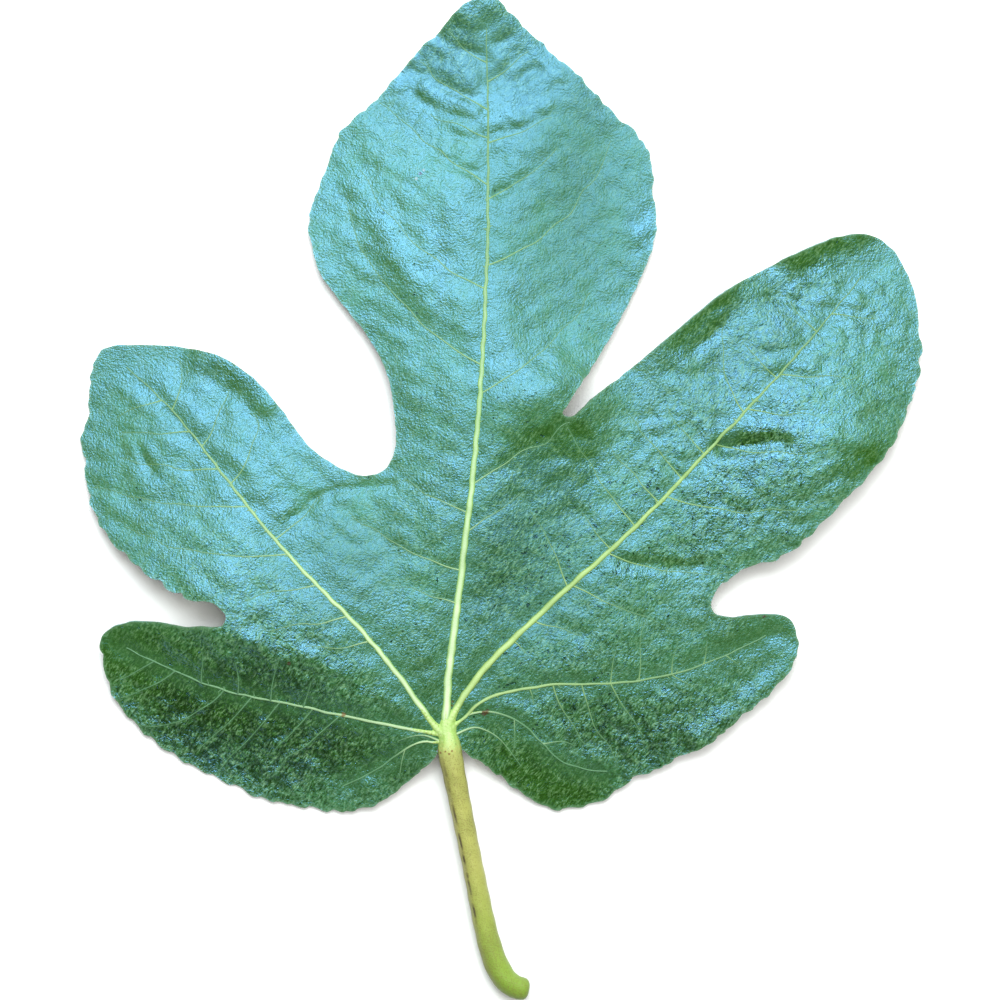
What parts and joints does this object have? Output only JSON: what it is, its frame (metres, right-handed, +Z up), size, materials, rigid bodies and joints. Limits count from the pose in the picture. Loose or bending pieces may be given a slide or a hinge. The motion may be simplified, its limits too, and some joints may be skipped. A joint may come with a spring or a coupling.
{
  "type": "picked fig leaf",
  "caption": "Picked fig leaf lying flat: deeply lobed, toothed green blade with pale ribs and side veins, on a bent stalk.",
  "frame": {"origin": "under the middle of the leaf's box, on the surface it lies on", "axes": "+Y runs along the midrib from the stalk to the tip, +Z up out of the leaf's upper side, +X to the right seen from above"},
  "size_m": [0.1766, 0.2112, 0.0108],
  "materials": {
    "blade": "waxy green leaf surface with a cool sheen, puckered between fine veins",
    "rib": "pale green, smooth and slightly translucent",
    "hub": "pale yellow-green knot of the ribs",
    "stalk": "yellow-green, fresh green at the foot, finely speckled"
  },
  "bodies": {
    "root": {"leaf_blade": "blade", "midrib": "rib", "upper_left_rib": "rib", "upper_right_rib": "rib", "lower_left_rib": "rib", "lower_right_rib": "rib", "basal_left_vein": "rib", "basal_right_vein": "rib", "vein_hub": "hub", "leaf_stalk": "stalk"}
  },
  "joints": []
}
